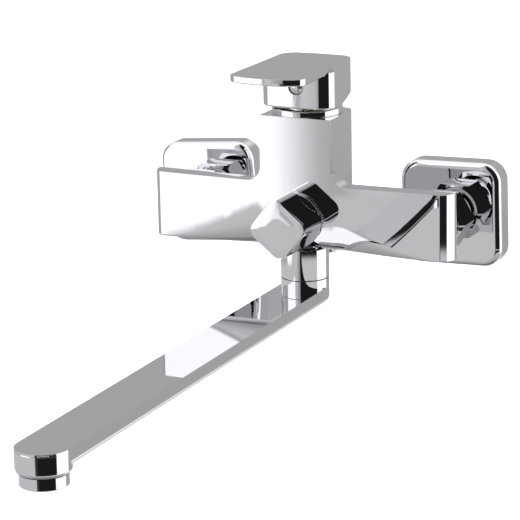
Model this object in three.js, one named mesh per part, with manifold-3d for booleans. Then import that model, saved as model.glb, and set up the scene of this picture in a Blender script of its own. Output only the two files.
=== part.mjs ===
// Wall mounted bath mixer with a long swivel spout, in millimetres.
// Frame: the wall is the plane y = 0, the room is towards -Y, +Z is up, and the
// origin is midway between the two water inlets, which are 150 mm apart.
import * as THREE from 'three';
import { mergeVertices } from 'three/addons/utils/BufferGeometryUtils.js';
import Module from 'manifold-3d';

// Driving dimensions
const GAP = 0.3;                 // clearance left wherever two pieces meet
const INLET_X = 75;              // half the spacing of the water inlets
const TAIL_DROP = 6;             // eccentricity of the wall unions
const FACE_Y = -54.9;            // front face of the body casting, at its two ends
const CROWN = 2.4;               // the face swells this much at the middle
const BAR = { half: 90.5, top: 20.5, bottom: -17, depth: 10, round: 8 };
const BAR_END = { x: 7.5, y: 9 };  // its ends are quarters of an ellipse in plan
const AXIS_Y = -39;              // upright axis of the mixing cartridge
const TOWER = { half: 21.5, back: -20.8, top: 58, bore: 16.8, floor: 22, fillet: 8.5, round: 6.5 };
const TOWER_FRONT = { x: 4.8, y: 8.3 };  // its front corners are parts of an ellipse
const CAP = { r: 19.8, bottom: 58.3, top: 62.4 };
const PIVOT_Z = 46;              // height of the pin the lever tilts about
const HUB = { half: 21.4, front: -57.8, back: -22, bottom: 63.7, corner: 7.2 };
const LEVER = { front: -95, bottom: 83.6, top: 87.3, corner: 5.5, bow: 3 };
const LIFT = 20;                 // degrees the lever can be lifted
const KNOB = { flats: 27, corner: 6.5, front: -83, back: -59.4 };
const DIVERTER_R = 9;            // bore for the diverter, along Y through the origin
const SPOUT_Y = -45.5;           // upright axis the spout swivels about
const COLLAR = { r: 13.65, bottom: -34.8 };
const SPOUT = { reach: 300, top: -40.2, thick: 10, r: 13.75, headBottom: -52.5 };
const AERATOR = { r: 12, bottom: -58.8 };
const ESCUTCHEON = { half: 29.6, corner: 11, depth: 14, wall: 2.6 };
const OFF_LEVEL = { left: -4.5, right: -1.2 };  // degrees each cover plate is turned
const NUT = { flats: 30, front: -38, back: -19.5 };
const SHOWER = { y: -19.5, r: 10.4, bottom: -26 };

const wasm = await Module();
wasm.setup();

// Materials
function finish(color, roughness, metalness) {
  return new THREE.MeshStandardMaterial({ color, roughness, metalness });
}
const chrome = finish(0xcfd2d6, 0.06, 1);
const brass = finish(0xb99548, 0.3, 1);
const steel = finish(0x9da1a5, 0.3, 1);
const rubber = finish(0x1d1d1e, 0.7, 0);
const ceramic = finish(0xe9e7e1, 0.25, 0);
const plastic = finish(0xd9dad8, 0.45, 0);
const acetal = finish(0x4a4d50, 0.5, 0);
const redPlastic = finish(0xb3202a, 0.3, 0);

// Solids: each helper returns a closed manifold
function solid(geometry) {
  const bare = geometry.clone();
  bare.deleteAttribute('normal');
  bare.deleteAttribute('uv');
  const welded = mergeVertices(bare, 1e-4);
  return new wasm.Manifold(new wasm.Mesh({
    numProp: 3,
    vertProperties: new Float32Array(welded.attributes.position.array),
    triVerts: new Uint32Array(welded.index.array),
  }));
}

// Ring or disc about +Z from z0 to z1; inner = 0 gives a disc
function turned(inner, outer, z0, z1, steps = 24) {
  const section = inner > 0
    ? [[inner, z0], [outer, z0], [outer, z1], [inner, z1], [inner, z0]]
    : [[0, z0], [outer, z0], [outer, z1], [0, z1]];
  return lathe(section, steps);
}

function lathe(section, steps = 28) {
  const profile = section.map(([r, z]) => new THREE.Vector2(r, z));
  const geometry = new THREE.LatheGeometry(profile, steps);
  geometry.rotateX(Math.PI / 2);
  return solid(geometry);
}

// Outline drawn in XY, extruded along +Z from z0 to z1
function extruded(shape, z0, z1, curveSegments = 5) {
  const options = { depth: z1 - z0, bevelEnabled: false, curveSegments };
  const geometry = new THREE.ExtrudeGeometry(shape, options);
  geometry.translate(0, 0, z0);
  return solid(geometry);
}

function box(x0, x1, y0, y1, z0, z1) {
  const geometry = new THREE.BoxGeometry(x1 - x0, y1 - y0, z1 - z0);
  geometry.translate((x0 + x1) / 2, (y0 + y1) / 2, (z0 + z1) / 2);
  return solid(geometry);
}

// Stand an upright solid along Y, so that its +Z runs towards +Y
const alongY = (manifold) => manifold.rotate([-90, 0, 0]);
const alongX = (manifold) => manifold.rotate([0, 90, 0]);

function upright(r, x, y, z0, z1, steps = 16) {
  return turned(0, r, z0, z1, steps).translate([x, y, 0]);
}

function roundedRect(halfX, halfY, corner) {
  const shape = new THREE.Shape();
  const turns = [[1, -1, -90], [1, 1, 0], [-1, 1, 90], [-1, -1, 180]];
  for (const [sx, sy, start] of turns) {
    const from = THREE.MathUtils.degToRad(start);
    shape.absarc(sx * (halfX - corner), sy * (halfY - corner), corner, from, from + Math.PI / 2, false);
  }
  shape.closePath();
  return shape;
}

function hexagon(flats) {
  const shape = new THREE.Shape();
  for (let side = 0; side < 6; side += 1) {
    const angle = THREE.MathUtils.degToRad(60 * side);
    const radius = flats / 2 / Math.cos(Math.PI / 6);
    const point = [radius * Math.cos(angle), radius * Math.sin(angle)];
    if (side === 0) shape.moveTo(...point);
    else shape.lineTo(...point);
  }
  shape.closePath();
  return shape;
}

const model = new THREE.Group();

function place(name, manifold, material) {
  const cut = manifold.getMesh();
  const geometry = new THREE.BufferGeometry();
  geometry.setAttribute('position', new THREE.BufferAttribute(cut.vertProperties, 3));
  geometry.setIndex(new THREE.BufferAttribute(cut.triVerts, 1));
  geometry.computeVertexNormals();
  const mesh = new THREE.Mesh(geometry, material);
  mesh.name = name;
  model.add(mesh);
}

// Body casting: a T-shaped front plate, a square tower and rear bosses
function frontOutline() {
  const { half, top, bottom } = BAR;
  const r = TOWER.fillet;
  const shape = new THREE.Shape();
  const round = 2;
  shape.moveTo(-half + round, bottom);
  shape.lineTo(half - round, bottom);
  shape.absarc(half - round, bottom + round, round, -Math.PI / 2, 0, false);
  shape.absarc(half - round, top - round, round, 0, Math.PI / 2, false);
  shape.absarc(TOWER.half + r, top + r, r, -Math.PI / 2, -Math.PI, true);
  shape.lineTo(-TOWER.half, top + r);
  shape.absarc(-TOWER.half - r, top + r, r, 0, -Math.PI / 2, true);
  shape.absarc(-half + round, top - round, round, Math.PI / 2, Math.PI, false);
  shape.absarc(-half + round, bottom + round, round, Math.PI, Math.PI * 1.5, false);
  return shape;
}

// Side section of the plate: full depth on top, rounded under in front
function plateSection() {
  const { bottom, depth, round } = BAR;
  const front = FACE_Y - CROWN;
  const shape = new THREE.Shape();
  shape.moveTo(front, TOWER.top + 1);
  shape.lineTo(front, bottom + round);
  shape.quadraticCurveTo(front, bottom, front + round, bottom);
  shape.lineTo(FACE_Y + depth, bottom);
  shape.lineTo(FACE_Y + depth, TOWER.top + 1);
  shape.closePath();
  return shape;
}

// Plan of the plate: its front is one shallow arc between the rounded ends
function platePlan() {
  const { x, y } = BAR_END;
  const end = BAR.half - x;
  const shape = new THREE.Shape();
  shape.moveTo(BAR.half, 0);
  shape.lineTo(-BAR.half, 0);
  shape.absellipse(-end, FACE_Y + y, x, y, Math.PI, Math.PI * 1.5, false);
  const steps = 14;
  for (let step = 1; step < steps; step += 1) {
    const along = (2 * step) / steps - 1;
    shape.lineTo(end * along, FACE_Y - CROWN * (1 - along ** 2));
  }
  shape.absellipse(end, FACE_Y + y, x, y, Math.PI * 1.5, Math.PI * 2, false);
  shape.closePath();
  return shape;
}

// Plan of the tower: flat in front between its elliptical corners
function towerPlan() {
  const { half, back, round } = TOWER;
  const { x, y } = TOWER_FRONT;
  const front = FACE_Y - CROWN;
  const right = Math.PI / 2;
  const shape = new THREE.Shape();
  shape.absellipse(half - x, front + y, x, y, -right, 0, false);
  shape.absarc(half - round, back - round, round, 0, right, false);
  shape.absarc(round - half, back - round, round, right, 2 * right, false);
  shape.absellipse(x - half, front + y, x, y, 2 * right, 3 * right, false);
  shape.closePath();
  return shape;
}

function bodyCasting() {
  const outline = extruded(frontOutline(), 0, 40, 5)
    .rotate([90, 0, 0]).translate([0, FACE_Y + 30, 0]);
  const section = extruded(plateSection(), -BAR.half - 1, BAR.half + 1, 4)
    .rotate([90, 0, 90]);
  const plan = extruded(platePlan(), BAR.bottom - 1, TOWER.top + 2, 5);
  const tower = extruded(towerPlan(), BAR.bottom + 5, TOWER.top, 6);
  let body = outline.intersect(section).add(tower).intersect(plan);
  for (const side of [-1, 1]) {
    body = body.add(alongY(turned(0, 12.6, FACE_Y + 8, NUT.front - 0.7, 28))
      .translate([side * INLET_X, 0, 0]));
  }
  body = body.add(upright(13, 0, SHOWER.y, BAR.bottom, 4, 28));
  body = body.add(turned(0, 10.3, -26, BAR.bottom + 1, 28).translate([0, SPOUT_Y, 0]));
  return body.subtract(waterways());
}

function waterways() {
  const runZ = 13;
  const runY = -49.6;
  const portX = 8.5;
  let cut = turned(0, TOWER.bore, TOWER.floor, TOWER.top + 2, 36).translate([0, AXIS_Y, 0]);
  for (const side of [-1, 1]) {
    const x = side * INLET_X;
    cut = cut.add(alongY(turned(0, 9.3, -46.5, -30, 24)).translate([x, 0, 0]));
    cut = cut.add(upright(4.4, x, runY, -2, runZ - 1.2));
    const run = alongX(turned(0, 3.2, 0, INLET_X - portX, 16));
    cut = cut.add(run.translate([side > 0 ? portX : -INLET_X, runY, runZ]));
    cut = cut.add(upright(3, side * portX, AXIS_Y - 6, runZ - 1, TOWER.floor + 1));
  }
  cut = cut.add(upright(3.5, 0, AXIS_Y + 8, 2, TOWER.floor + 1));
  cut = cut.add(alongY(turned(0, DIVERTER_R, FACE_Y - 3, -27, 28)));
  cut = cut.add(upright(7, 0, SPOUT_Y, -30, 0, 24));
  cut = cut.add(alongY(turned(0, 4, -28, SHOWER.y, 16)));
  cut = cut.add(upright(9, 0, SHOWER.y, -20, -8, 24));
  return cut.add(upright(5, 0, SHOWER.y, -10, 3));
}

// Mixing cartridge, from the tower floor upwards
function cartridge() {
  const at = (manifold) => manifold.translate([0, AXIS_Y, 0]);
  const ports = upright(2.9, 8.5, -6, 20, 34, 12)
    .add(upright(2.9, -8.5, -6, 20, 34, 12))
    .add(upright(3.4, 0, 8, 20, 34, 12));
  place('cartridge_gasket', at(turned(0, 14.1, 22.3, 23.3).subtract(ports)), rubber);
  place('cartridge_base', at(turned(0, 14, 23.6, 26.7).subtract(ports)), plastic);
  place('fixed_disc', at(turned(0, 13.9, 27, 30).subtract(ports)), ceramic);
  const pocket = turned(0, 6.2, 29, 31.6, 24).translate([0, 1, 0]);
  place('moving_disc', at(turned(0, 10.3, 30.2, 33.1).subtract(pocket)), ceramic);
  const slot = box(-3, 3, -3, 3, 34.4, 40);
  place('disc_carrier', at(turned(0, 10.4, 33.4, 38.6).subtract(slot)), acetal);
  const housing = lathe([[14.3, 23.6], [16.5, 23.6], [16.5, 48.4], [11.6, 48.4],
    [11.6, 44.1], [14.3, 44.1], [14.3, 23.6]]);
  place('cartridge_housing', at(housing), plastic);
  const rotor = lathe([[0, 39.2], [13.8, 39.2], [13.8, 43.8], [11.2, 43.8], [11.2, 58], [0, 58]])
    .subtract(box(-4.5, 4.5, -7.2, 9.9, 38, 59))
    .subtract(alongX(turned(0, 1.8, -16, 16, 16)).translate([0, 0, PIVOT_Z]));
  place('rotor', at(rotor), acetal);
  const pinHole = alongX(turned(0, 1.8, -6, 6, 16)).translate([0, 0, PIVOT_Z]);
  const stem = box(-4, 4, -4, 4, 41, 79.5).add(box(-2.2, 2.2, -2.2, 2.2, 35, 42)).subtract(pinHole);
  place('stem', at(stem), brass);
  place('stem_pin', at(alongX(turned(0, 1.5, -10.8, 10.8, 16)).translate([0, 0, PIVOT_Z])), steel);
  const nut = lathe([[12.2, 48.8], [16.5, 48.8], [16.5, 57], [15, 57],
    [15, 60.4], [12.2, 60.4], [12.2, 48.8]]);
  place('cartridge_nut', at(nut), brass);
  const { r, bottom, top } = CAP;
  const cap = lathe([[15.4, bottom], [r, bottom], [r, top - 1.6], [r - 0.5, top - 0.5], [r - 1.6, top],
    [12.8, top], [12.8, 60.8], [15.4, 60.8], [15.4, bottom]], 40);
  place('cap_ring', at(cap), chrome);
}

// Lever handle: a hollow hub with a flat plate reaching forward
function leverOutline() {
  const { half, back } = HUB;
  const { front, corner, bow } = LEVER;
  const backBow = 1.5;
  const shape = new THREE.Shape();
  shape.moveTo(-half, back - corner);
  shape.lineTo(-half, front + corner);
  shape.quadraticCurveTo(-half, front, -half + corner, front - 0.5);
  shape.quadraticCurveTo(0, front - bow, half - corner, front - 0.5);
  shape.quadraticCurveTo(half, front, half, front + corner);
  shape.lineTo(half, back - corner);
  shape.quadraticCurveTo(half, back, half - corner, back + 0.5);
  shape.quadraticCurveTo(0, back + backBow, -half + corner, back + 0.5);
  shape.quadraticCurveTo(-half, back, -half, back - corner);
  return shape;
}

function handle() {
  const plate = extruded(leverOutline(), LEVER.bottom, LEVER.top, 5);
  const middle = (HUB.front + HUB.back) / 2;
  const halfY = (HUB.back - HUB.front) / 2;
  const hub = extruded(roundedRect(HUB.half, halfY, HUB.corner), HUB.bottom, LEVER.bottom + 1, 8)
    .translate([0, middle, 0]);
  const cavity = extruded(roundedRect(19.2, 15.4, 6), HUB.bottom - 1, 76, 6).translate([0, middle, 0]);
  const boss = turned(0, 7.6, 69, 78, 20).translate([0, AXIS_Y, 0]);
  const rib = box(-5, 5, HUB.front + 2, AXIS_Y - 5, 71, 78);
  const socket = box(-4.3, 4.3, AXIS_Y - 4.3, AXIS_Y + 4.3, 60, 79.9);
  const screwHole = alongY(turned(0, 2.8, -70, AXIS_Y - 2, 16)).translate([0, 0, 75]);
  const plugHole = alongY(turned(0, 4.4, -70, HUB.front + 3.2, 24)).translate([0, 0, 75]);
  const chamfer = box(-40, 40, 0, 40, -40, 0).rotate([LIFT, 0, 0]).translate([0, AXIS_Y, HUB.bottom]);
  return plate.add(hub).subtract(cavity).add(boss.add(rib).intersect(hub))
    .subtract(socket).subtract(screwHole).subtract(plugHole).subtract(chamfer);
}

function handleGroup() {
  place('handle', handle(), chrome);
  const screw = alongY(turned(0, 2.5, -53.6, AXIS_Y - 4.6, 16)).translate([0, 0, 75]);
  place('handle_screw', screw, steel);
  const dome = [[0, -1], [2.6, -0.7], [4.1, 0.3], [4.1, 3], [0, 3]];
  place('index_plug', alongY(lathe(dome, 20)).translate([0, HUB.front, 75]), redPlastic);
}

// Diverter on the front face
function diverter() {
  const gland = lathe([[4.4, -54.9], [8.7, -54.9], [8.7, -44.2], [6.6, -44.2],
    [6.6, -46.4], [4.4, -46.4], [4.4, -54.9]], 24);
  place('diverter_gland', alongY(gland), brass);
  place('spindle_seal', alongY(turned(4.3, 6.3, -46.1, -44.3, 20)), rubber);
  place('diverter_spindle', alongY(turned(0, 4, -74, -43.9, 20)), brass);
  const passage = box(-4, 4, -42, -34, -12, 2).add(box(-4, 4, -40, -26, -4, 2));
  place('diverter_rotor', alongY(turned(0, 8.6, -43.6, -30)).subtract(passage), brass);
  place('knob_ring', alongY(turned(9.2, 15.6, -59.1, -57.6, 36)), chrome);
  const outline = roundedRect(KNOB.flats / 2, KNOB.flats / 2, KNOB.corner);
  const knob = extruded(outline, KNOB.front, KNOB.back, 6)
    .subtract(turned(0, 4.3, -75, KNOB.back + 1, 20))
    .rotate([0, 0, 45]);
  const screwHole = upright(2.2, 0, -68, -30, 0, 12);
  place('diverter_knob', alongY(knob).subtract(screwHole), chrome);
  place('knob_screw', upright(1.9, 0, -68, -13, -4.6, 12), steel);
}

// Swivel spout and its collar
function spoutBody() {
  const { reach, top, thick, r, headBottom } = SPOUT;
  const endY = SPOUT_Y - reach;
  const arm = extruded(roundedRect(r - 0.1, thick / 2, 3), endY, SPOUT_Y, 4)
    .rotate([90, 0, 0]).translate([0, endY + SPOUT_Y, top - thick / 2]);
  const elbow = turned(0, COLLAR.r, top - thick + 1, COLLAR.bottom - GAP, 32).translate([0, SPOUT_Y, 0]);
  const barrel = turned(0, 9, COLLAR.bottom - 1, -28.5)
    .add(turned(0, 10.2, -29, -27)).translate([0, SPOUT_Y, 0]);
  const head = turned(0, r, headBottom, top, 36).translate([0, endY, 0]);
  const channel = box(-10, 10, endY, SPOUT_Y, top - thick + 2.5, top - 2.5);
  const inlet = turned(0, 6.5, top - thick + 2.5, -20, 20).translate([0, SPOUT_Y, 0]);
  const outlet = turned(0, 10.2, headBottom - 1, top - 3).translate([0, endY, 0]);
  return arm.add(elbow).add(barrel).add(head).subtract(channel).subtract(inlet).subtract(outlet);
}

function spoutGroup() {
  const at = (manifold) => manifold.translate([0, SPOUT_Y, 0]);
  const { r, bottom } = COLLAR;
  const section = [[9.3, bottom], [r, bottom], [r, -17.3], [10.6, -17.3],
    [10.6, -30], [9.3, -30], [9.3, bottom]];
  place('spout_collar', at(lathe(section, 32)), chrome);
  place('slip_washer', at(turned(9.3, 10.4, -29.8, -29.25)), plastic);
  place('spout_gasket', at(turned(7, 10.2, -26.75, -26.25)), rubber);
  place('spout', spoutBody(), chrome);
  const outletAt = (manifold) => manifold.translate([0, SPOUT_Y - SPOUT.reach, 0]);
  const housing = lathe([[8.9, AERATOR.bottom], [AERATOR.r, AERATOR.bottom], [AERATOR.r, -52.8], [9.9, -52.8],
    [9.9, -46.6], [8.9, -46.6], [8.9, AERATOR.bottom]]);
  place('aerator_housing', outletAt(housing), chrome);
  let insert = turned(0, 8.6, -57.4, -49);
  for (let ring = 1; ring <= 2; ring += 1) {
    const count = ring * 6;
    for (let hole = 0; hole < count; hole += 1) {
      const angle = (2 * Math.PI * hole) / count;
      const radius = ring * 3;
      const at = [radius * Math.cos(angle), radius * Math.sin(angle)];
      insert = insert.subtract(upright(0.9, ...at, -60, -47, 6));
    }
  }
  place('aerator_insert', outletAt(insert), plastic);
  place('aerator_washer', outletAt(turned(6.5, 9.8, -46.3, -44.3)), rubber);
}

// Shower hose outlet under the back of the body
function showerOutlet() {
  const at = (manifold) => manifold.translate([0, SHOWER.y, 0]);
  const section = [[6, SHOWER.bottom], [SHOWER.r, SHOWER.bottom], [SHOWER.r, -17.3], [8.7, -17.3],
    [8.7, -11.5], [6, -11.5], [6, SHOWER.bottom]];
  place('shower_nipple', at(lathe(section, 24)), chrome);
  place('shower_check_valve', at(turned(2.5, 5.7, -22, -12, 16)), acetal);
}

// Wall connections, one set for each inlet
function inletSet(side, suffix) {
  const at = (manifold) => alongY(manifold).translate([side * INLET_X, 0, 0]);
  const seat = lathe([[6, -46.2], [9, -46.2], [9, -38.4], [10, -38.4], [10, -33.8],
    [12.1, -33.8], [12.1, -31], [6, -31], [6, -46.2]], 20);
  place(`inlet_seat_${suffix}`, at(seat), brass);
  const hex = extruded(hexagon(NUT.flats), NUT.front, NUT.back, 1);
  const corner = NUT.flats / 2 / Math.cos(Math.PI / 6);
  const chamfer = lathe([[0, NUT.front], [corner - 1.4, NUT.front], [corner, NUT.front + 1.2],
    [corner, NUT.back - 1.2], [corner - 1.4, NUT.back], [0, NUT.back]], 24);
  const bore = lathe([[0, NUT.front - 1], [10.3, NUT.front - 1], [10.3, -34.1],
    [12.8, -34.1], [12.8, NUT.back + 1], [0, NUT.back + 1]], 24);
  place(`inlet_nut_${suffix}`, at(hex.intersect(chamfer).subtract(bore)), chrome);
  place(`strainer_washer_${suffix}`, at(turned(6.5, 12, -30.7, -28.9, 20)), rubber);
  const upper = turned(0, 12.4, -28.6, -14).add(turned(0, 11, -15, -6));
  const tail = turned(0, 10.2, -8, 15).translate([0, TAIL_DROP, 0]);
  const shoulder = turned(0, 13, -8, -4).translate([0, TAIL_DROP / 2, 0]);
  const bore1 = turned(0, 7, -30, -7, 20);
  const bore2 = turned(0, 7, -9, 16, 20).translate([0, TAIL_DROP, 0]);
  const union = upper.add(tail).add(shoulder).subtract(bore1).subtract(bore2);
  place(`eccentric_union_${suffix}`, at(union), chrome);
  place(`escutcheon_${suffix}`, at(escutcheonShell().rotate([0, 0, OFF_LEVEL[suffix]])), chrome);
}

function escutcheonShell() {
  const { half, corner, depth, wall } = ESCUTCHEON;
  const outer = extruded(roundedRect(half, half, corner), -depth, -0.1, 6);
  const inner = extruded(roundedRect(half - wall, half - wall, corner - wall), -depth + 2.2, 1, 6);
  return outer.subtract(inner).subtract(turned(0, 12.8, -20, 0));
}

place('body', bodyCasting(), chrome);
cartridge();
handleGroup();
diverter();
spoutGroup();
showerOutlet();
inletSet(-1, 'left');
inletSet(1, 'right');

export default model;
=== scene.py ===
# %% [markdown]
# # A wall mounted bath mixer
#
# A bath mixer is mostly polished chrome, and chrome has no colour of its own. It shows the room.
# So two things carry the looks here: clean curved surfaces, and a studio worth mirroring.
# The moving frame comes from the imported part, and every new piece rides on one of its bodies.

import math

import bmesh
import bpy
from mathutils import Matrix, Vector


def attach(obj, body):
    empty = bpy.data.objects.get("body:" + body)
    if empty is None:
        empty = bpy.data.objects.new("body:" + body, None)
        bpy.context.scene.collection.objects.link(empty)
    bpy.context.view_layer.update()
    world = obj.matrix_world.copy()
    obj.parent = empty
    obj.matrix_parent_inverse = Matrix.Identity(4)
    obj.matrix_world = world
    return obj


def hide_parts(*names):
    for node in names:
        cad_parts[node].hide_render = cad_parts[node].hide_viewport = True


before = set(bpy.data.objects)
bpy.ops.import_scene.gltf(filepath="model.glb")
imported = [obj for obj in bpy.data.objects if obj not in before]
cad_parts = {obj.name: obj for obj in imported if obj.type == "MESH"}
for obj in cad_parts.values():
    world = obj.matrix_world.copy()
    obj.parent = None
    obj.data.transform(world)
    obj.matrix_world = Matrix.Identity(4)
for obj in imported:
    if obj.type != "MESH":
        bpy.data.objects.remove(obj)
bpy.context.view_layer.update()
MM = 0.001
X, Y, Z = range(3)

# %% [markdown]
# ## Working by hand, from code
#
# Blender's modelling tools act on whatever is selected. These helpers clear the selection, choose
# faces, edges or points by where they are, and put a finished piece's place into its mesh.
# All sizes are in millimetres and are turned into metres at the last moment.


# %% Selecting
def only(piece):
    bpy.ops.object.select_all(action="DESELECT")
    piece.select_set(True)
    bpy.context.view_layer.objects.active = piece


def centre(element):
    """The middle of a face, edge or point, in millimetres."""
    points = [element] if isinstance(element, bmesh.types.BMVert) else element.verts
    return sum((point.co for point in points), Vector()) / len(points) / MM


def along(edge):
    """The direction of an edge, as a unit vector."""
    return (edge.verts[1].co - edge.verts[0].co).normalized()


def pick(piece, kind, wanted):
    """Open a piece in edit mode with the elements selected that `wanted` says yes to."""
    only(piece)
    bpy.ops.object.mode_set(mode="EDIT")
    bpy.ops.mesh.select_mode(type=kind)
    bpy.ops.mesh.select_all(action="DESELECT")
    mesh = bmesh.from_edit_mesh(piece.data)
    elements = {"VERT": mesh.verts, "EDGE": mesh.edges, "FACE": mesh.faces}[kind]
    found = [element for element in elements if wanted(element)]
    for element in found:
        element.select_set(True)
    bmesh.update_edit_mesh(piece.data)
    return len(found)


def done():
    bpy.ops.object.mode_set(mode="OBJECT")


def near(a, b, within=0.05):
    return abs(a - b) < within


def runs(edge, axis):
    return abs(along(edge)[axis]) > 0.9


def by_wall(edge, axis, most=0.5):
    """Whether one of the faces at the edge is a wall, which hardly looks along the axis."""
    return any(abs(face.normal[axis]) < most for face in edge.link_faces)


def move_points(piece, moved):
    """Give each point the place, in millimetres, that `moved` works out from where it is."""
    pick(piece, "VERT", lambda point: True)
    mesh = bmesh.from_edit_mesh(piece.data)
    for point in mesh.verts:
        point.co = vector(*moved(*(point.co / MM)))
    bmesh.update_edit_mesh(piece.data)
    done()


# %% Shaping
def vector(x, y, z):
    return (x * MM, y * MM, z * MM)


def block(x, y, z):
    """A box between pairs of millimetre limits, with its place in its mesh."""
    middle = [(low + high) / 2 * MM for low, high in (x, y, z)]
    size = [(high - low) * MM for low, high in (x, y, z)]
    bpy.ops.mesh.primitive_cube_add(size=1, location=middle, scale=size)
    piece = bpy.context.object
    bpy.ops.object.transform_apply(location=True, rotation=True, scale=True)
    return piece


def extrude(piece, wanted, move):
    pick(piece, "FACE", wanted)
    bpy.ops.mesh.extrude_region_move(TRANSFORM_OT_translate={"value": vector(*move)})
    done()


def bevel(piece, wanted, width, steps):
    if pick(piece, "EDGE", wanted):
        bpy.ops.mesh.bevel(offset=width * MM, segments=steps, profile=0.5, clamp_overlap=True)
    done()


def cut(piece, at, normal, clear=False):
    """Cut through a piece with a plane; `clear` takes away what lies on the normal's side."""
    pick(piece, "FACE", lambda face: True)
    bpy.ops.mesh.bisect(
        plane_co=vector(*at), plane_no=normal, clear_outer=clear, use_fill=clear, threshold=1e-6
    )
    done()


def dissolve_flat(piece, angle):
    """Take away the lines between faces that lie level with each other."""
    pick(piece, "FACE", lambda face: True)
    bpy.ops.mesh.dissolve_limited(angle_limit=math.radians(angle))
    done()


def stretch(piece, scale, about):
    pick(piece, "VERT", lambda point: True)
    bpy.ops.transform.resize(value=scale, center_override=vector(*about))
    done()


def apply(piece, kind, **settings):
    """Add a modifier, set it up and apply it."""
    only(piece)
    modifier = piece.modifiers.new(kind.title(), kind)
    for name, value in settings.items():
        setattr(modifier, name, value)
    bpy.ops.object.modifier_apply(modifier=modifier.name)


def dome(piece, middle, rings):
    """Swell a front face: set it in by scaling and push it out, ring by ring."""
    for scale, push in rings:
        largest = max(f.area for f in piece.data.polygons if f.normal.y < -0.99)
        pick(piece, "FACE", lambda f: f.normal.y < -0.99 and f.calc_area() > 0.999 * largest)
        bpy.ops.mesh.extrude_region_move(TRANSFORM_OT_translate={"value": vector(0, -push, 0)})
        bpy.ops.transform.resize(value=(scale, 1, scale), center_override=vector(*middle))
        done()


def weld(piece):
    """Merge points that lie within a few thousandths of a millimetre, and face all faces outwards."""
    pick(piece, "VERT", lambda point: True)
    bpy.ops.mesh.remove_doubles(threshold=0.004 * MM)
    bpy.ops.mesh.normals_make_consistent(inside=False)
    done()


def combine(piece, other, operation):
    """Join a piece with another, or take the other out of it; the other is used up."""
    apply(piece, "BOOLEAN", operation=operation, object=other, solver="EXACT")
    bpy.data.objects.remove(other)


def polish(piece, angle):
    """Round shading inside each surface, with crisp lines where surfaces meet."""
    only(piece)
    bpy.ops.object.shade_smooth_by_angle(angle=math.radians(angle))
    apply(piece, "WEIGHTED_NORMAL", keep_sharp=True, weight=80)


# %% Turning
def turned(rings, at=(0, 0, 0), lying=False, sides=96):
    """Turn a profile of (radius, height) steps; `lying` runs its height along Y."""
    radius, height = rings[0]
    bpy.ops.mesh.primitive_circle_add(
        vertices=sides, radius=max(radius, 0.001) * MM, location=(0, 0, height * MM)
    )
    piece = bpy.context.object
    bpy.ops.object.transform_apply(location=True, rotation=True, scale=True)
    only(piece)
    bpy.ops.object.mode_set(mode="EDIT")
    bpy.ops.mesh.select_all(action="SELECT")
    for (r0, z0), (r1, z1) in zip(rings, rings[1:]):
        bpy.ops.mesh.extrude_region_move(TRANSFORM_OT_translate={"value": (0, 0, (z1 - z0) * MM)})
        factor = max(r1, 0.001) / max(r0, 0.001)
        bpy.ops.transform.resize(value=(factor, factor, 1), center_override=(0, 0, z1 * MM))
    done()
    weld(piece)
    if lying:
        piece.rotation_euler = (math.radians(-90), 0, 0)
    piece.location = vector(*at)
    only(piece)
    bpy.ops.object.transform_apply(location=True, rotation=True, scale=True)
    return piece


def rod(radius, low, high, at=(0, 0, 0), lying=False, sides=64):
    return turned([(0, low), (radius, low), (radius, high), (0, high)], at, lying, sides)


def fillet(corner, radius, start, steps=4):
    """Points of a quarter round about `corner`, from `start` degrees over 90 more."""
    turns = [math.radians(start + 90 * step / steps) for step in range(steps + 1)]
    return [(corner[0] + radius * math.cos(t), corner[1] + radius * math.sin(t)) for t in turns]


def thread(root, low, ridges=4, pitch=1.8, depth=0.7):
    """Ring-shaped ridges up a thread, as steps of a profile, from the height `low`."""
    steps = []
    for ridge in range(ridges):
        foot = low + ridge * pitch
        steps += [(root, foot), (root + depth, foot + 0.6), (root + depth, foot + 0.9), (root, foot + 1.5)]
    return steps


# %% [markdown]
# ## Shader maths as Python
#
# A finish is a small tree of nodes. `Number` wraps a socket so that sums on it read as sums,
# and `Tree.node` makes any other node from its settings and the values of its sockets.


# %% Numbers and trees
class Number:
    def __init__(self, tree, socket):
        self.tree, self.socket = tree, socket

    def sum(self, operation, *others):
        return Number(self.tree, self.tree.node(
            "ShaderNodeMath", {"operation": operation}, {0: self, **dict(enumerate(others, 1))}
        ).outputs[0])

    def __add__(self, other):
        return self.sum("ADD", other)

    __radd__ = __add__

    def __mul__(self, other):
        return self.sum("MULTIPLY", other)

    __rmul__ = __mul__

    def __sub__(self, other):
        return self.sum("SUBTRACT", other)

    def __rsub__(self, other):
        return self * -1 + other

    def ramp(self, low, high):
        """0 below `low`, 1 above `high` and smooth in between."""
        node = self.tree.node(
            "ShaderNodeMapRange", {"interpolation_type": "SMOOTHSTEP"}, {0: self, 1: low, 2: high}
        )
        return Number(self.tree, node.outputs[0])

    def band(self, low, high, soft):
        return self.ramp(low - soft, low + soft) * (1 - self.ramp(high - soft, high + soft))


class Tree:
    def __init__(self, owner):
        owner.use_nodes = True
        self.nodes, self.links = owner.node_tree.nodes, owner.node_tree.links

    def put(self, socket, value):
        if isinstance(value, Number):
            value = value.socket
        if isinstance(value, bpy.types.NodeSocket):
            self.links.new(value, socket)
        else:
            socket.default_value = value

    def node(self, kind, settings=None, sockets=None):
        node = self.nodes.new(kind)
        for name, value in (settings or {}).items():
            setattr(node, name, value)
        for name, value in (sockets or {}).items():
            self.put(node.inputs[name], value)
        return node

    def number(self, socket):
        return Number(self, socket)

    def blend(self, factor, low, high):
        """Mix two colours."""
        node = self.node("ShaderNodeMix", {"data_type": "RGBA"}, {0: factor, 6: low, 7: high})
        return node.outputs[2]


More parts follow.
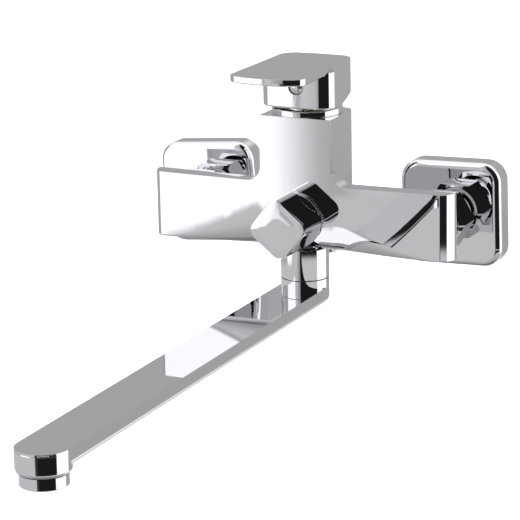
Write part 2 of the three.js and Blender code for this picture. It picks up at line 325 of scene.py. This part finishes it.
# %% [markdown]
# ## Finishes
#
# Every finish starts from the Principled shader. What varies over a surface is driven by noise on
# Object coordinates, so nothing slides when the piece moves. Chrome plate on a polished casting is
# nearly a mirror: the plating follows a faint waviness of the metal, and handling leaves patches
# that scatter a little more.


# %% Finish helpers
class Finish(Tree):
    def __init__(self, name, colour, roughness, metallic=0.0):
        self.material = bpy.data.materials.new(name)
        super().__init__(self.material)
        self.shader = self.nodes["Principled BSDF"]
        self.place = self.node("ShaderNodeTexCoord").outputs["Object"]
        self.vary("Base Color", (*colour, 1))
        self.vary("Roughness", roughness)
        self.vary("Metallic", metallic)

    def noise(self, scale, detail=3.0, stretch=(1, 1, 1)):
        spread = self.node("ShaderNodeMapping", None, {"Vector": self.place, "Scale": stretch})
        node = self.node(
            "ShaderNodeTexNoise", None, {"Vector": spread.outputs[0], "Scale": scale, "Detail": detail}
        )
        return self.number(node.outputs["Fac"])

    def relief(self, height, depth_mm, strength):
        bump = self.node(
            "ShaderNodeBump", None, {"Height": height, "Distance": depth_mm * MM, "Strength": strength}
        )
        self.put(self.shader.inputs["Normal"], bump.outputs["Normal"])

    def vary(self, socket, value):
        """Set an input of the shader, to a constant or to what a node gives."""
        self.put(self.shader.inputs[socket], value)


CHROME = (0.86, 0.865, 0.88)


def chrome_plate():
    finish = Finish("chrome_plate", CHROME, 0.02, 1.0)
    handling = finish.noise(26, 4).ramp(0.48, 0.74)
    grain = finish.noise(900, 2)
    finish.vary("Roughness", 0.012 + handling * 0.012 + grain * 0.006)
    clean, handled = (0.87, 0.875, 0.89, 1), (0.82, 0.825, 0.845, 1)
    finish.vary("Base Color", finish.blend(handling * 0.35, clean, handled))
    finish.relief(finish.noise(160, 1), 0.02, 0.05)
    return finish.material


def machined(name, dark, light, roughness, metallic, streak):
    """Bare metal that was turned on a lathe: fine streaks and a little tarnish."""
    finish = Finish(name, dark, roughness, metallic)
    lines = finish.noise(streak, 2, (1, 1, 14))
    tarnish = finish.noise(70, 5)
    finish.vary("Base Color", finish.blend(tarnish.ramp(0.3, 0.75), (*dark, 1), (*light, 1)))
    finish.vary("Roughness", roughness - 0.06 + lines * 0.14)
    finish.relief(lines, 0.05, 0.25)
    return finish.material


def moulded(name, dark, light, roughness, grain_scale, depth):
    """Moulded plastic, rubber or fired ceramic: an even skin with a fine grain."""
    finish = Finish(name, dark, roughness)
    grain = finish.noise(grain_scale, 3)
    patches = finish.noise(60, 3)
    finish.vary("Base Color", finish.blend(patches.ramp(0.3, 0.7), (*dark, 1), (*light, 1)))
    finish.vary("Roughness", roughness + grain * 0.12 - 0.06)
    finish.relief(grain, depth, 0.35)
    return finish.material


# %% The finishes
finishes = {
    "chrome": chrome_plate(),
    "brass": machined("turned_brass", (0.52, 0.36, 0.13), (0.68, 0.5, 0.22), 0.28, 1.0, 1400),
    "steel": machined("bright_steel", (0.42, 0.43, 0.44), (0.58, 0.59, 0.6), 0.3, 1.0, 1600),
    "rubber": moulded("seal_rubber", (0.012, 0.012, 0.013), (0.03, 0.03, 0.032), 0.62, 1500, 0.06),
    "ceramic": moulded("lapped_ceramic", (0.74, 0.73, 0.7), (0.84, 0.83, 0.8), 0.2, 2200, 0.02),
    "white_plastic": moulded("white_plastic", (0.66, 0.66, 0.64), (0.76, 0.76, 0.74), 0.42, 1300, 0.04),
    "grey_plastic": moulded("grey_plastic", (0.09, 0.095, 0.1), (0.14, 0.145, 0.15), 0.46, 1300, 0.04),
}
print("finishes:", sorted(finishes))

# %% [markdown]
# ## Giving each carried-over piece its finish
#
# The seals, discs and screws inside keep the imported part's own meshes. They are sorted here by
# what they are made of, which is also the record's material slot that they take.

# %% Inner pieces
inner_pieces = {
    "brass": ["cartridge_nut", "stem", "diverter_gland", "diverter_spindle", "diverter_rotor",
              "inlet_seat_left", "inlet_seat_right"],
    "steel": ["handle_screw", "stem_pin", "knob_screw"],
    "rubber": ["cartridge_gasket", "spindle_seal", "spout_gasket", "aerator_washer",
               "strainer_washer_left", "strainer_washer_right"],
    "ceramic": ["fixed_disc", "moving_disc"],
    "white_plastic": ["cartridge_base", "cartridge_housing", "slip_washer"],
    "grey_plastic": ["disc_carrier", "rotor", "shower_check_valve"],
}
for slot, nodes in inner_pieces.items():
    for node in nodes:
        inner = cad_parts[node]
        inner.data.materials.clear()
        inner.data.materials.append(finishes[slot])
print("inner pieces:", sum(len(nodes) for nodes in inner_pieces.values()))


def finished(piece, name, body, nodes, slot="chrome", angle=28):
    """Polish a piece, give it its finish, and let it stand for its nodes in the frame."""
    polish(piece, angle)
    piece.name = name
    piece.data.name = name
    piece.data.materials.clear()
    piece.data.materials.append(finishes[slot])
    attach(piece, body)
    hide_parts(*nodes)
    print(f"{name}: {len(piece.data.polygons)} faces")


# %% [markdown]
# ## The body casting
#
# The front of the body is one T-shaped plate: a bar with a tower rising from its middle. The edges
# aren't all alike. The tower's corners are part of an ellipse, twice as deep as wide, the ends of
# the bar are rounder still, and the bar's top edge is nearly sharp. A bevel rounds evenly, so the
# plate is first squashed front to back, bevelled, and drawn out again, which makes ellipses.

# %% Block out the plate
FRONT, BACK = -57.3, -46.7
BAR_TOP, BAR_BOTTOM, HALF_BAR = 20.5, -17, 90.5
TOWER_TOP, HALF_TOWER, TOWER_BACK = 58, 21.5, -20.8
CARTRIDGE_Y, SPOUT_Y, SHOWER_Y = -39, -45.5, -19.5
INLET_X = 75

body = block((-HALF_TOWER, HALF_TOWER), (FRONT, BACK), (BAR_BOTTOM, BAR_TOP))
for side in (-1, 1):
    extrude(body, lambda f: f.normal.x * side > 0.9, (side * (HALF_BAR - HALF_TOWER), 0, 0))
extrude(
    body,
    lambda f: f.normal.z > 0.9 and abs(centre(f).x) < 1,
    (0, 0, TOWER_TOP - BAR_TOP),
)
dissolve_flat(body, 0.5)
print("plate:", len(body.data.polygons), "faces")


# %% Round its inner corners and its ends
INNER_CORNER = 8.5
DRAWN = 1.6


def squash(piece):
    stretch(piece, (1, 1 / DRAWN, 1), (0, FRONT, 0))


def draw_out(piece):
    stretch(piece, (1, DRAWN, 1), (0, FRONT, 0))


bevel(
    body,
    lambda e: runs(e, Y) and near(abs(centre(e).x), HALF_TOWER) and near(centre(e).z, BAR_TOP),
    INNER_CORNER, 14,
)
squash(body)
bevel(
    body,
    lambda e: runs(e, Z) and near(abs(centre(e).x), HALF_BAR) and near(centre(e).y, FRONT),
    6.2, 14,
)
draw_out(body)

# %% [markdown]
# The line up the tower's sides, round the inner corners and along the bar's top gets finer on its
# way out. A bevel modifier reads how wide to go from a weight on each edge.


# %% Round the line that runs from the tower to the bar
def weighted_bevel(piece, weight, width, segments):
    mesh = bmesh.new()
    mesh.from_mesh(piece.data)
    layer = mesh.edges.layers.float.new("bevel_weight_edge")
    for edge in mesh.edges:
        edge[layer] = weight(edge) if len(edge.link_faces) == 2 else 0.0
    mesh.to_mesh(piece.data)
    mesh.free()
    apply(
        piece, "BEVEL",
        limit_method="WEIGHT", width=width * MM, segments=segments, use_clamp_overlap=True,
    )


def front_line(edge):
    """Tower side, inner corner and bar top, as a share of the tower side's width."""
    middle = centre(edge)
    squashed_back = FRONT + (BACK - FRONT) / DRAWN
    beyond_tower = abs(middle.x) - HALF_TOWER
    on_top = near(middle.z, BAR_TOP, 0.02) and beyond_tower > 0 and middle.y < squashed_back - 0.3
    on_front = near(middle.y, FRONT, 0.02) and middle.z > BAR_TOP - 0.1
    inside_top = all(face.normal.z > 0.99 for face in edge.link_faces)
    inside_front = all(face.normal.y < -0.99 for face in edge.link_faces)
    if not (on_top or on_front) or inside_top or inside_front:
        return 0.0
    if beyond_tower <= 0.01:
        return 1.0 if middle.z < TOWER_TOP - 0.1 and near(beyond_tower, 0) else 0.0
    inner = max(0.0, 1 - beyond_tower / INNER_CORNER)
    return 0.22 + 0.78 * inner ** 0.6


squash(body)
weighted_bevel(body, front_line, 4.8, 12)
draw_out(body)
print("plate rounded:", len(body.data.polygons), "faces")

# %% [markdown]
# The tower is deeper than the bar, so its back is drawn out from the plate. Then cuts are laid
# across the bar every few millimetres, and its points are moved so that the whole front becomes
# one shallow arc. That crown is what sweeps the reflections along the bar. The lower front edge
# is moved too: a big roll near the knob, which dies away towards the ends.

# %% Draw out the tower and crown the front
for side in (-1, 1):
    cut(body, (side * HALF_TOWER, 0, 0), (1, 0, 0))
extrude(
    body,
    lambda f: f.normal.y > 0.9 and abs(centre(f).x) < HALF_TOWER,
    (0, TOWER_BACK - BACK, 0),
)
bevel(body, lambda e: runs(e, Z) and near(centre(e).y, TOWER_BACK), 8, 12)
bevel(body, lambda e: near(centre(e).z, TOWER_TOP) and by_wall(e, Z), 0.9, 3)
bevel(
    body,
    lambda e: near(centre(e).y, BACK) and abs(centre(e).x) > HALF_TOWER + 0.2 and by_wall(e, Y),
    0.8, 3,
)

# %% Lay the cuts and move the points
CROWN = 2.4
ROLL_HIGH, ROLL_DEEP = 19, 8.4
FULL_ROLL, NO_ROLL = 25, 88

for step in range(-20, 21):
    cut(body, (step * 4 + 0.013, 0, 0), (1, 0, 0))
for height in (-16.9, -16.6, -16.1, -15.3, -14.2, -12.8, -11, -9, -7, -5, -3, -1, 1):
    cut(body, (0, 0, height), (0, 0, 1))


def crowned(x, y, z):
    """The lower front edge rolled under, less and less towards the ends, and the front arched."""
    share = min(1.0, max(0.14, (NO_ROLL - abs(x)) / (NO_ROLL - FULL_ROLL))) ** 1.5
    down = (BAR_BOTTOM + ROLL_HIGH - z) / ROLL_HIGH
    if down > 0:
        z = BAR_BOTTOM + ROLL_HIGH * share * (1 - down)
        if y < BACK - 1.5:
            y += ROLL_DEEP * share * (1 - math.sqrt(max(0.0, 1 - down ** 2)))
    return x, y + CROWN * (x / HALF_BAR) ** 2, z


move_points(body, crowned)
weld(body)
print("body crowned:", len(body.data.polygons), "faces")

# %% Add the bosses at the back and drill the bores
inlets = (-INLET_X, 0, 0), (INLET_X, 0, 0)
outlet, shower = (0, SPOUT_Y, 0), (0, SHOWER_Y, 0)
for place in inlets:
    combine(body, rod(12.6, -47, -38.7, place, lying=True), "UNION")
combine(body, rod(13, -17.2, 4, shower), "UNION")
combine(body, rod(10.3, -26, -12, outlet), "UNION")

combine(body, rod(16.8, 22, 64, (0, CARTRIDGE_Y, 0)), "DIFFERENCE")
combine(body, rod(9, -64, -27, lying=True), "DIFFERENCE")
for place in inlets:
    combine(body, rod(9.3, -46.5, -36, place, lying=True), "DIFFERENCE")
combine(body, rod(7, -30, -2, outlet), "DIFFERENCE")
combine(body, rod(9, -20, -8, shower), "DIFFERENCE")
finished(body, "body_casting", "mixer_body", ["body"])

# %% [markdown]
# ## Rings and collars
#
# A ring is turned: a circle is extruded and scaled step by step round its profile, with a few
# points for each rounded edge, and the last ring is welded to the first.


# %% Cap ring, knob ring and spout collar
def ring(profile, name, node, at=(0, 0, 0), lying=False, carrier="mixer_body"):
    piece = turned(profile + [profile[0]], at, lying, sides=128)
    finished(piece, name, carrier, [node], angle=35)


cap_outside = [(19.5, 58.05), *fillet((19.4, 58.45), 0.4, -90), *fillet((18.9, 60.8), 0.9, 0, 6)]
cap_lip = [(14, 61.7), *fillet((13.6, 62.2), 0.4, 0), *fillet((13.2, 62.2), 0.4, 90), (12.8, 60.8)]
ring([(15.4, 58.05), *cap_outside, *cap_lip, (15.4, 60.8)], "cap_ring", "cap_ring", (0, CARTRIDGE_Y, 0))

knob_ring_edge = fillet((15.2, -58.1), 0.4, 0)[::-1] + fillet((15.1, -58.6), 0.5, -90)[::-1]
ring([(9.2, -57.7), (15.3, -57.7), *knob_ring_edge, (9.2, -59.1)], "knob_ring", "knob_ring", lying=True)

collar_outside = fillet((13.25, -34.4), 0.4, -90) + fillet((13.25, -17.7), 0.4, 0)
ring(
    [(9.3, -34.8), *collar_outside, (10.6, -17.3), (10.6, -30), (9.3, -30)],
    "spout_collar", "spout_collar", outlet,
)

# %% [markdown]
# ## The spout
#
# One long arm, flat on top and rolled under at its sides, with a round neck at one end and a round
# head at the other. It starts as a short cylinder. The front half of its lower wall is extruded
# forward the whole length, which leaves half a circle at each end and two straight sides.

# %% The arm
REACH, ARM_TOP, ARM_BOTTOM, ARM_HALF = 300, -40.2, -50.2, 13.65
NECK_TOP = -35.1
HEAD_Y = SPOUT_Y - REACH
mouth = (0, HEAD_Y, 0)

spout = turned(
    [(0, ARM_BOTTOM), (ARM_HALF, ARM_BOTTOM), (ARM_HALF, ARM_TOP), (ARM_HALF, NECK_TOP), (0, NECK_TOP)],
    outlet,
)
extrude(
    spout,
    lambda f: f.normal.y < -0.001 and abs(f.normal.z) < 0.1 and centre(f).z < ARM_TOP,
    (0, -REACH, 0),
)
weld(spout)
dissolve_flat(spout, 0.4)
bevel(
    spout,
    lambda e: near(centre(e).z, ARM_BOTTOM) and len(e.link_faces) == 2 and by_wall(e, Z),
    4.6, 10,
)
bevel(
    spout,
    lambda e: near(centre(e).z, ARM_TOP) and centre(e).y < SPOUT_Y - 0.4
    and any(f.normal.z > 0.9 for f in e.link_faces) and by_wall(e, Z)
    and (centre(e).y < HEAD_Y + 0.3 or abs(along(e).y) > 0.99),
    1.3, 5,
)
print("spout arm:", len(spout.data.polygons), "faces")

# %% The head, the barrel and the waterway
head = turned(
    [(0, -52.5), *fillet((11.4, -50.2), 2.3, -90, 8), *fillet((12.3, -41.7), 1.45, 0, 6), (0, -40.25)],
    mouth,
)
combine(spout, head, "UNION")
barrel = turned([(0, -36), (9, -36), (9, -29), (10.2, -29), (10.2, -27), (0, -27)], outlet, sides=64)
combine(spout, barrel, "UNION")
combine(spout, block((-10, 10), (HEAD_Y, SPOUT_Y), (-47.7, -42.7)), "DIFFERENCE")
combine(spout, rod(6.5, -47.7, -20, outlet), "DIFFERENCE")
combine(spout, rod(10.2, -60, -43.2, mouth), "DIFFERENCE")
finished(spout, "spout_arm", "spout", ["spout"])

# %% [markdown]
# ## The outlet
#
# The aerator is a short chromed ring with a plastic insert in its mouth. The insert breaks the
# stream with a field of small holes, which shows from below. The holes are made as rods, one in
# the middle and the rest on two rings round it, and all are taken out in one cut.

# %% Aerator
ring(
    [(8.9, -58.8), *fillet((11.4, -58.2), 0.6, -90), (12, -52.8), (9.9, -52.8), (9.9, -46.6), (8.9, -46.6)],
    "aerator_ring", "aerator_housing", mouth, carrier="spout",
)
insert = turned(
    [(0, -57.4), (7.9, -57.4), *fillet((8.1, -57.1), 0.3, -90), (8.6, -49), (0, -49)], mouth, sides=64
)
holes = []
for count, radius in ((1, 0), (6, 2.6), (12, 5.2)):
    for number in range(count):
        turn = math.tau * number / count
        place = (radius * math.cos(turn), HEAD_Y + radius * math.sin(turn), 0)
        holes.append(rod(0.75, -59, -47, place, sides=12))
bpy.ops.object.select_all(action="DESELECT")
for hole in holes:
    hole.select_set(True)
bpy.context.view_layer.objects.active = holes[0]
bpy.ops.object.join()
combine(insert, holes[0], "DIFFERENCE")
finished(insert, "aerator_insert_disc", "spout", ["aerator_insert"], "white_plastic", angle=32)

# %% [markdown]
# ## The lever
#
# A thin plate reaches forward over a hollow hub, both cast in one. The plate comes first, its back
# part is extruded down to make the hub, and the underside at the back is cut away at the angle
# that the lever lifts through, so that it clears the cap ring.

# %% Plate and hub
HALF_LEVER, LEVER_FRONT, LEVER_BACK = 21.4, -95, -21.4
PLATE_LOW, PLATE_HIGH = 83.6, 87.3
HUB_FRONT, HUB_LOW = -56.6, 63.0
HUB_CORNER, BACK_CORNER = 7.2, 7.5
LIFT = math.radians(20)

handle = block((-HALF_LEVER, HALF_LEVER), (LEVER_FRONT, LEVER_BACK), (PLATE_LOW, PLATE_HIGH))
cut(handle, (0, HUB_FRONT, 0), (0, 1, 0))
extrude(handle, lambda f: f.normal.z < -0.9 and centre(f).y > HUB_FRONT, (0, 0, HUB_LOW - PLATE_LOW))
bevel(handle, lambda e: runs(e, Z) and near(centre(e).y, LEVER_FRONT), 5, 8)
bevel(handle, lambda e: runs(e, Z) and near(centre(e).y, LEVER_BACK), BACK_CORNER, 10)
bevel(
    handle,
    lambda e: runs(e, Z) and near(centre(e).y, HUB_FRONT)
    and near(abs(centre(e).x), HALF_LEVER) and centre(e).z < PLATE_LOW,
    HUB_CORNER, 14,
)
cut(handle, (0, CARTRIDGE_Y, HUB_LOW), (0, math.sin(LIFT), -math.cos(LIFT)), clear=True)
print("lever blocked out:", len(handle.data.polygons), "faces")

# %% Bow its ends and soften its edges
for step in range(-5, 6):
    cut(handle, (step * 2.6 + 0.011, 0, 0), (1, 0, 0))


def bowed(x, y, z):
    """The lever's tip, the hub's front and the back arched outwards, and the plate flared forward."""
    across = 1 - (x / HALF_LEVER) ** 2
    bow, flare = 0, 0
    if y < LEVER_FRONT + 9:
        bow = -4.4
    elif y < HUB_FRONT + HUB_CORNER and z < PLATE_LOW + 0.01:
        bow = -1.7 * (HUB_FRONT + HUB_CORNER - y) / HUB_CORNER
    elif y > LEVER_BACK - BACK_CORNER:
        bow = 2.2 * (y - LEVER_BACK + BACK_CORNER) / BACK_CORNER
    if y < HUB_FRONT and z > PLATE_LOW - 0.01:
        flare = 0.035 * (y - HUB_FRONT) / (LEVER_FRONT - HUB_FRONT)
    return x * (1 + flare), y + bow * across, z


move_points(handle, bowed)
bevel(handle, lambda e: near(centre(e).z, PLATE_HIGH) and by_wall(e, Z), 0.7, 4)
bevel(
    handle,
    lambda e: near(centre(e).z, PLATE_LOW) and centre(e).y < HUB_FRONT - 1.5 and by_wall(e, Z),
    0.7, 3,
)
bevel(
    handle,
    lambda e: centre(e).z < HUB_LOW + 8 and len(e.link_faces) == 2
    and any(f.normal.z < -0.85 for f in e.link_faces) and by_wall(e, Z),
    1.2, 4,
)

# %% Hollow it, with a socket for the stem and a hole for the plug
PLUG_X, PLUG_Z = 1.6, 75.4

hollow = block((-18.8, 18.8), (-54.6, -24.6), (60, 76))
bevel(hollow, lambda e: runs(e, Z), 5.5, 8)
combine(handle, hollow, "DIFFERENCE")
combine(handle, block((-4.3, 4.3), (-43.3, -34.7), (70, 79.9)), "DIFFERENCE")
combine(handle, rod(4.5, -64, -54.5, (PLUG_X, 0, PLUG_Z), lying=True), "DIFFERENCE")
finished(handle, "lever_handle", "lever", ["handle"])

# %% [markdown]
# ## The index plug
#
# A chromed dome closes the screw hole in the front of the hub. It carries a red and a blue dot,
# hot and cold. They are flush with the dome, so they are a change of finish and not of shape.


# %% Plug
DOT_OUT, DOT_UP, DOT_RADIUS = 2.4, 1.7, 0.8


def index_finish():
    finish = Finish("index_plug_finish", CHROME, 0.03, 1.0)
    place = finish.node("ShaderNodeSeparateXYZ", None, {0: finish.place})
    x, z = finish.number(place.outputs[0]), finish.number(place.outputs[2])

    def dot(across):
        side, up = x - (PLUG_X + across) * MM, z - (PLUG_Z + DOT_UP) * MM
        far = (side * side + up * up).sum("SQRT")
        return 1 - far.ramp((DOT_RADIUS - 0.05) * MM, (DOT_RADIUS + 0.05) * MM)

    hot, cold = dot(-DOT_OUT), dot(DOT_OUT)
    colour = finish.blend(hot, (*CHROME, 1), (0.55, 0.01, 0.02, 1))
    finish.vary("Base Color", finish.blend(cold, colour, (0.01, 0.05, 0.4, 1)))
    finish.vary("Metallic", (1 - hot) * (1 - cold))
    finish.vary("Roughness", 0.02 + finish.noise(300) * 0.02 + (hot + cold) * 0.2)
    return finish.material


finishes["index_mark"] = index_finish()
plug_dome = [(4.2, 0.5), (4.0, -0.15), (3.5, -0.75), (2.7, -1.2), (1.6, -1.5), (0.7, -1.62), (0, -1.65)]
plug = turned(
    [(0, 3), (4.2, 3), *plug_dome], (PLUG_X, HUB_FRONT - 0.7, PLUG_Z), lying=True, sides=64
)
finished(plug, "index_plug_dome", "lever", ["index_plug"], "index_mark", angle=60)

# %% [markdown]
# ## The diverter knob
#
# A rounded square stands almost on its corner. Its front is flat in the middle and falls away a
# little towards the rim, which has a narrow bright edge. The front face is first set in a few
# times, which lays rings of points on it. The outer ones are then moved back.

# %% Knob
KNOB_HALF, KNOB_FRONT, KNOB_BACK = 13.5, -82.4, -59.4
KNOB_TURN = 39
FLAT_OUT = 9.5

knob = block((-KNOB_HALF, KNOB_HALF), (KNOB_FRONT, KNOB_BACK), (-KNOB_HALF, KNOB_HALF))
bevel(knob, lambda e: runs(e, Y), 6.3, 12)
dome(knob, (0, KNOB_FRONT, 0), [(share, 0) for share in (0.95, 0.9, 0.84, 0.77, 0.69, 0.6, 0.5)])


def fallen_away(x, y, z):
    if near(y, KNOB_FRONT, 0.01):
        y += 0.3 * max(0.0, (math.hypot(x, z) - FLAT_OUT) / 5) ** 2
    return x, y, z


move_points(knob, fallen_away)
bevel(knob, lambda e: any(f.normal.y < -0.8 for f in e.link_faces) and by_wall(e, Y, 0.3), 0.7, 3)
bevel(knob, lambda e: near(centre(e).y, KNOB_BACK), 0.5, 2)
knob.rotation_euler = (0, math.radians(KNOB_TURN), 0)
only(knob)
bpy.ops.object.transform_apply(location=True, rotation=True, scale=True)
combine(knob, rod(4.3, -74, -50, lying=True), "DIFFERENCE")
finished(knob, "diverter_knob_cap", "diverter", ["diverter_knob"], angle=25)

# %% [markdown]
# ## The wall connections
#
# On each side a hexagon nut pulls the body onto an offset union that screws into the wall, and a
# square cover plate hides the hole. The nut is a six-sided prism whose corners are turned off, so
# it is the part that a prism and a turned blank share.


# %% Nuts and unions
def coupling_nut():
    half_flats = 15
    bpy.ops.mesh.primitive_cylinder_add(
        vertices=6, radius=half_flats / math.cos(math.pi / 6) * MM, depth=18.5 * MM,
        location=vector(0, -28.75, 0), rotation=(math.radians(90), math.radians(30), 0),
    )
    nut = bpy.context.object
    bpy.ops.object.transform_apply(location=True, rotation=True, scale=True)
    blank = [(0, -37.9), (14.2, -37.9), (17.6, -35.8), (17.6, -21.6), (14.2, -19.6), (0, -19.6)]
    combine(nut, turned(blank, lying=True), "INTERSECT")
    bore = [(0, -40), (10.3, -40), (10.3, -34.1), (12.8, -34.1), (12.8, -17), (0, -17)]
    combine(nut, turned(bore, lying=True), "DIFFERENCE")
    apply(nut, "BEVEL", limit_method="ANGLE", angle_limit=math.radians(28), width=0.35 * MM, segments=2)
    return nut


def wall_union():
    """Two tubes in one piece: the wall's is set lower than the nut's by the offset."""
    offset = 6
    ridged = [(7, -28.6), (11.6, -28.6), *thread(11.7, -27.6)]
    upper = turned([*ridged, (11.2, -19.8), (11.2, -4), (7, -4), (7, -28.6)], lying=True)
    tail = turned(
        [(7.1, -8), (13, -8), (13, -4.4), (10.2, -4.4), (10.2, 15), (7.1, 15), (7.1, -8)],
        (0, 0, -offset), lying=True,
    )
    combine(upper, tail, "UNION")
    return upper


def at_side(piece, side, turn):
    """A copy with a mesh of its own, turned and moved to one of the two inlets."""
    copy = piece.copy()
    copy.data = piece.data.copy()
    bpy.context.collection.objects.link(copy)
    place = Matrix.Translation(vector(side * INLET_X, 0, 0)) @ Matrix.Rotation(math.radians(turn), 4, "Y")
    copy.data.transform(place)
    return copy


# %% [markdown]
# The cover plate is a shallow square box. Its front edge rolls over generously, its corners are
# round, and its face swells a little, so it catches a soft highlight. A cover plate is only pushed
# over its union, and hardly ever sits quite level. Each has a slight turn of its own here.


# %% Cover plates
def cover_plate():
    half, depth, wall = 29.5, 14, 2.6
    inside = half - wall
    plate = block((-half, half), (-depth, -0.1), (-half, half))
    bevel(plate, lambda e: runs(e, Y), 11, 14)
    bevel(plate, lambda e: near(centre(e).y, -depth), 3.4, 8)
    dome(plate, (0, -depth, 0), ((0.94, 0.02), (0.87, 0.015), (0.78, 0.01)))
    hollow = block((-inside, inside), (-11.8, 5), (-inside, inside))
    bevel(hollow, lambda e: runs(e, Y), 8.6, 10)
    combine(plate, hollow, "DIFFERENCE")
    combine(plate, rod(12.9, -20, 0, lying=True), "DIFFERENCE")
    return plate


# %% Place them at both inlets
LEVEL, OFF_LEVEL = (0, 0), (-4.5, -1.2)

for maker, name, node, turns in (
    (coupling_nut, "coupling_nut", "inlet_nut", LEVEL),
    (wall_union, "wall_union", "eccentric_union", LEVEL),
    (cover_plate, "cover_plate", "escutcheon", OFF_LEVEL),
):
    model = maker()
    for side, hand, turn in ((-1, "left", turns[0]), (1, "right", turns[1])):
        finished(at_side(model, side, turn), f"{name}_{hand}", "mixer_body", [f"{node}_{hand}"], angle=30)
    bpy.data.objects.remove(model)

# %% [markdown]
# ## The shower outlet
#
# Behind the collar a short threaded stub points down, for a hand shower's hose. Its thread is cut
# as rings, which is what a fine thread looks like at this size.

# %% Shower stub
ring(
    [(6, -26), (9.4, -26), *thread(9.7, -25.7), (9.7, -17.6), (8.7, -17.3), (8.7, -11.5), (6, -11.5)],
    "shower_stub", "shower_nipple", shower,
)

# %% [markdown]
# ## The studio
#
# Chrome needs a room with an order to it: soft white panels for the highlights, a dark flag for
# the crisp black bands, and quiet greys between. The room is painted on the world by direction,
# so that it is the same from every side of the object. Azimuth 0 is in front of the mixer and
# grows towards its right; elevation is above the horizon.

# %% Room
world = bpy.data.worlds.new("studio_room")
bpy.context.scene.world = world
room = Tree(world)
ray = room.node("ShaderNodeTexCoord").outputs["Generated"]
parts = room.node("ShaderNodeSeparateXYZ", None, {0: ray}).outputs
x, y, z = (room.number(part) for part in parts)
azimuth = x.sum("ARCTAN2", y * -1) * math.degrees(1)
elevation = z.sum("ARCSINE") * math.degrees(1)


def paint(under, mask, level):
    """Lay a level of light over what is under it, where the mask is 1."""
    return under * (1 - mask) + mask * level


# %% [markdown]
# Above the horizon come the big shapes: a white panel on the left that fades to grey, the black
# flag beside it and a white panel beyond. Below are a grey floor and the panels' lower ends.
# The line between the two is slightly tilted, and a pale ceiling and a dim ground close the room.

# %% Its panels
GREY, WHITE, BLACK = 0.41, 1.25, 0.012
panel = WHITE - azimuth.ramp(-26.6, -22) * 0.8
panel = panel + azimuth.ramp(-22, -19.5) * 0.17 - azimuth.ramp(-19, -3) * 0.26
light = azimuth.ramp(-190, 190) * 0.02 + GREY
light = paint(light, azimuth.band(-68, 0, 1.2), panel)
light = paint(light, azimuth.band(0, 83, 1.0), BLACK)
light = paint(light, azimuth.band(83, 143, 1.5), WHITE)
lower = 0.58 - (elevation * -1).ramp(14, 60) * 0.2
lower = paint(lower, azimuth.band(0, 83, 1.5) * elevation.band(-26, -17.5, 1.5), BLACK)
lower = paint(lower, azimuth.band(-4, 6, 2.5) * elevation.ramp(-28, -22), 0.04)
lower = paint(lower, azimuth.band(83, 143, 1.5) * elevation.ramp(-34, -26), WHITE)
lower = paint(lower, azimuth.ramp(142, 146), 0.4)
lower = paint(lower, azimuth.ramp(142, 146) * elevation.band(-48, -28, 5), 1.0)
edge = azimuth.sum("MAXIMUM", -45).sum("MINIMUM", -10) * 0.055 - 12.5 - azimuth.band(0, 83, 1.0) * 1.7
light = paint(lower, (elevation - edge).ramp(-0.15, 0.15), light)
light = paint(light, elevation.ramp(22, 34) * (1 - azimuth.band(-60, 95, 4)), 1.1)
light = paint(light, (elevation * -1).ramp(58, 75), 0.17)
background = room.nodes["Background"]
background.inputs["Color"].default_value = (0.985, 0.975, 1.0, 1)
room.put(background.inputs["Strength"], light)

# %% [markdown]
# The floor is plain and pale, well below the object. A broad soft lamp lights it and the matt
# pieces. Neither shows in the chrome, which mirrors the room alone.

# %% Floor and lamp
bpy.ops.object.select_all(action="DESELECT")
bpy.ops.mesh.primitive_grid_add(x_subdivisions=2, y_subdivisions=2, size=60, location=(0, 12, -1.1))
floor = bpy.context.object
floor.name = "studio_floor"
paper = Finish("pale_paper", (0.9, 0.9, 0.9), 0.9)
fibre = paper.noise(6, 4)
paper.vary("Base Color", paper.blend(fibre, (0.9, 0.9, 0.905, 1), (0.93, 0.93, 0.93, 1)))
paper.vary("Roughness", 0.85 + fibre * 0.1)
floor.data.materials.append(paper.material)
floor.visible_glossy = False

bpy.ops.object.light_add(type="SUN", location=(0, 0, 4))
lamp = bpy.context.object
lamp.name = "soft_lamp"
lamp.data.angle = math.radians(80)
lamp.data.energy = 3.6
lamp.rotation_euler = (math.radians(18), math.radians(-14), 0)
lamp.visible_glossy = False

# %% [markdown]
# ## The camera
#
# A long lens from the right and a little above, almost level, rolled by about a degree.

# %% Camera
TURN, RISE, ROLL = (math.radians(angle) for angle in (25.16, 14.90, -1.12))
backward = Vector((math.sin(TURN) * math.cos(RISE), -math.cos(TURN) * math.cos(RISE), math.sin(RISE)))
level_right = Vector((math.cos(TURN), math.sin(TURN), 0))
level_up = backward.cross(level_right)
right = level_right * math.cos(ROLL) + level_up * math.sin(ROLL)
up = level_up * math.cos(ROLL) - level_right * math.sin(ROLL)
camera_data = bpy.data.cameras.new("camera")
camera_data.lens, camera_data.sensor_width, camera_data.clip_end = 180.6, 36, 200
AIM, DISTANCE = (-21.15, -60, -24.32), 1462.9
camera = bpy.data.objects.new("camera", camera_data)
bpy.context.collection.objects.link(camera)
stand = Vector(vector(*AIM)) + backward * DISTANCE * MM
turn = Matrix((right, up, backward)).transposed().to_4x4()
camera.matrix_world = Matrix.Translation(stand) @ turn
bpy.context.scene.camera = camera
bpy.context.scene.view_settings.view_transform = "Standard"
print("camera at", [round(value, 3) for value in stand])
